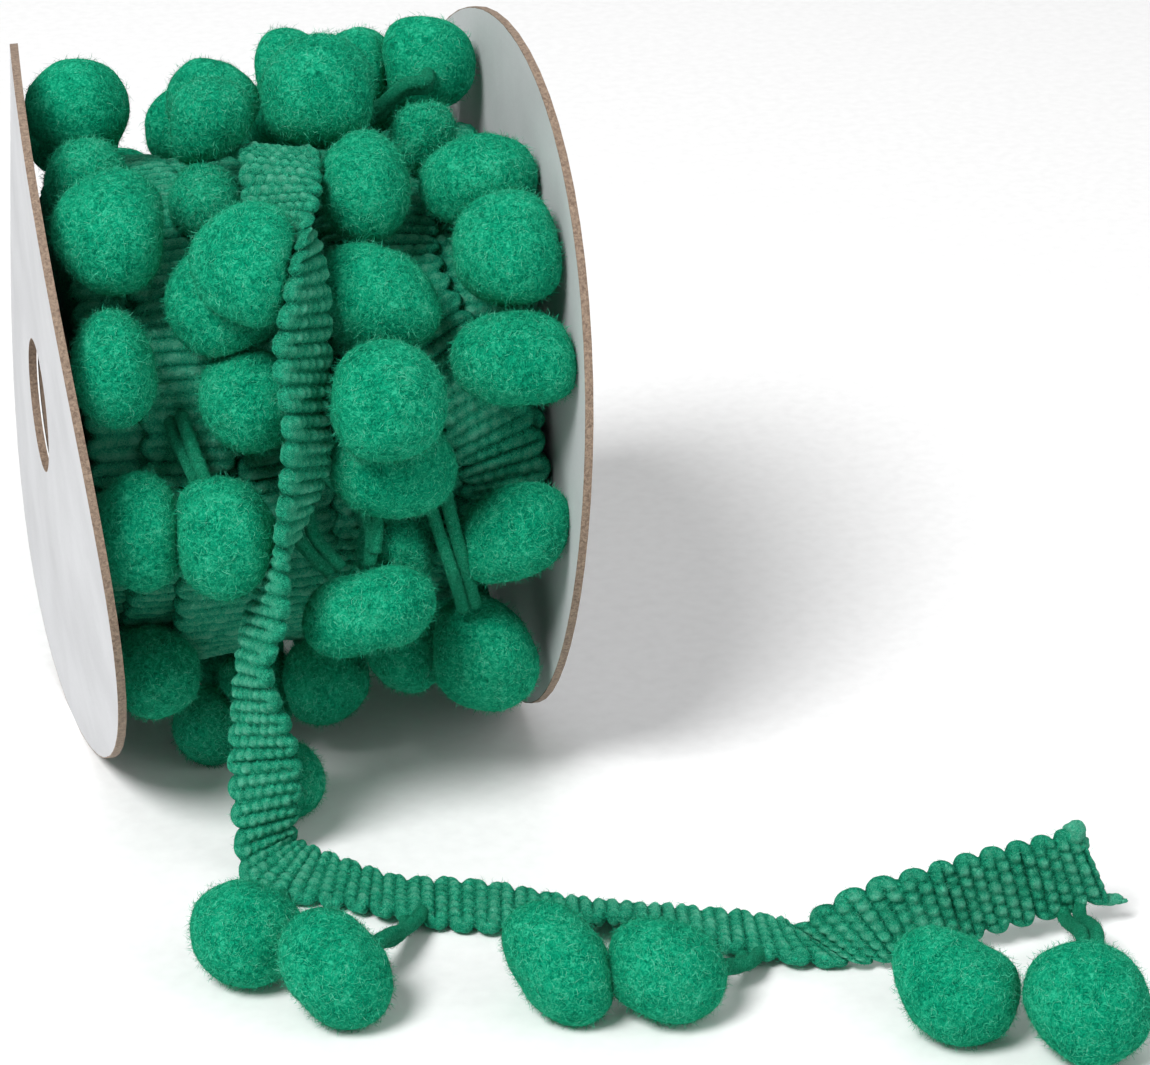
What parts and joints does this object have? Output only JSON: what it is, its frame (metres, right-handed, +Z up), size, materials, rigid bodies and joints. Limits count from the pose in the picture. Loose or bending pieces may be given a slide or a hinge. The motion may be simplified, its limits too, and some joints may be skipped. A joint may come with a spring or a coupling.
{
  "type": "pompom fringe trim on a card reel",
  "caption": "Woven tape fringed with felted wool-like pompoms, wound on a flanged card reel, with a loose end that hangs down and runs along the table.",
  "frame": {"origin": "on the table, under the middle of the whole object's box", "axes": "+X along the reel's axis, from the flange with the loose end's fold beside it to the other; -Y is the front, where the loose end lies; +Z up"},
  "size_m": [0.114, 0.1598, 0.092],
  "materials": {
    "pompom_felt": "matted short acrylic fibre, emerald green",
    "woven_tape": "thick ribbed weave of soft yarn, emerald green",
    "tie_yarn": "soft chenille-like cord, emerald green",
    "flange_card": "smooth white-faced greyboard with a raw brown edge",
    "core_card": "raw grey-brown card tube"
  },
  "bodies": {
    "root": {"left_flange": "flange_card", "right_flange": "flange_card", "core_tube": "core_card", "wound_trim": "woven_tape", "tail_tape": "woven_tape", "tail_cord_1": "tie_yarn", "tail_cord_2": "tie_yarn", "tail_cord_3": "tie_yarn", "tail_cord_4": "tie_yarn", "tail_cord_5": "tie_yarn", "tail_cord_6": "tie_yarn", "drum_cord_1": "tie_yarn", "drum_cord_2": "tie_yarn", "drum_cord_3": "tie_yarn", "drum_cord_4": "tie_yarn", "tail_pompom_1": "pompom_felt", "tail_pompom_2": "pompom_felt", "tail_pompom_3": "pompom_felt", "tail_pompom_4": "pompom_felt", "tail_pompom_5": "pompom_felt", "tail_pompom_6": "pompom_felt", "tail_pompom_7": "pompom_felt", "tail_pompom_8": "pompom_felt", "drum_pompom_01": "pompom_felt", "drum_pompom_02": "pompom_felt", "drum_pompom_03": "pompom_felt", "drum_pompom_04": "pompom_felt", "drum_pompom_05": "pompom_felt", "drum_pompom_06": "pompom_felt", "drum_pompom_07": "pompom_felt", "drum_pompom_08": "pompom_felt", "drum_pompom_09": "pompom_felt", "drum_pompom_10": "pompom_felt", "drum_pompom_11": "pompom_felt", "drum_pompom_12": "pompom_felt", "drum_pompom_13": "pompom_felt", "drum_pompom_14": "pompom_felt", "drum_pompom_15": "pompom_felt", "drum_pompom_16": "pompom_felt", "drum_pompom_17": "pompom_felt", "drum_pompom_18": "pompom_felt", "drum_pompom_19": "pompom_felt", "drum_pompom_20": "pompom_felt", "drum_pompom_21": "pompom_felt", "drum_pompom_22": "pompom_felt", "drum_pompom_23": "pompom_felt", "drum_pompom_24": "pompom_felt", "drum_pompom_25": "pompom_felt", "drum_pompom_26": "pompom_felt", "drum_pompom_27": "pompom_felt", "drum_pompom_28": "pompom_felt", "drum_pompom_29": "pompom_felt", "drum_pompom_30": "pompom_felt", "drum_pompom_31": "pompom_felt", "drum_pompom_32": "pompom_felt", "drum_pompom_33": "pompom_felt", "drum_pompom_34": "pompom_felt", "drum_pompom_35": "pompom_felt", "drum_pompom_36": "pompom_felt", "drum_pompom_37": "pompom_felt"}
  },
  "joints": []
}
